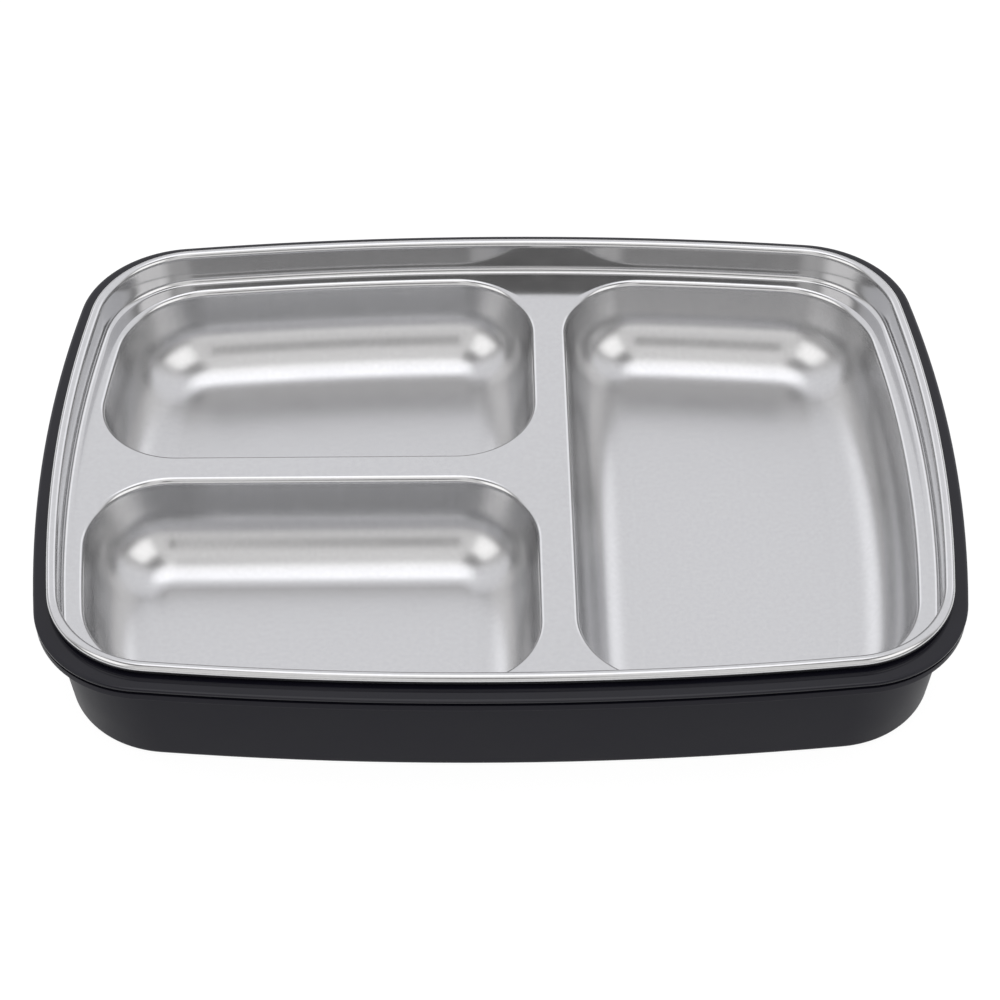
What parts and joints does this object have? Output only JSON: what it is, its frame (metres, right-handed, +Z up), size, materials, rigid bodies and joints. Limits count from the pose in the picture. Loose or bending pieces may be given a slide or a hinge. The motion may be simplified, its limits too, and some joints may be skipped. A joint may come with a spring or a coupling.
{
  "type": "bento lunch box",
  "caption": "Shallow rectangular lunch box base with bowed sides: a moulded flanged outer case holding a lift-out pressed steel tray divided into food compartments, lid off.",
  "frame": {"origin": "middle of the case's flat underside", "axes": "+X along the length towards the single large compartment, +Y towards the back, +Z up out of the open tray"},
  "size_m": [0.28, 0.206, 0.0417],
  "materials": {
    "case_plastic": "satin moulded black polypropylene, glossy on the flange",
    "tray_steel": "pressed stainless sheet, softly satin in the pockets and bright on the shelf and rolled edge"
  },
  "bodies": {
    "case": {"outer_case": "case_plastic"},
    "tray": {"steel_tray": "tray_steel"}
  },
  "joints": [
    {"name": "tray_lift", "type": "slide", "parent": "case", "child": "tray", "axis": [0, 0, 1], "range_m": [0, 0.06]}
  ]
}
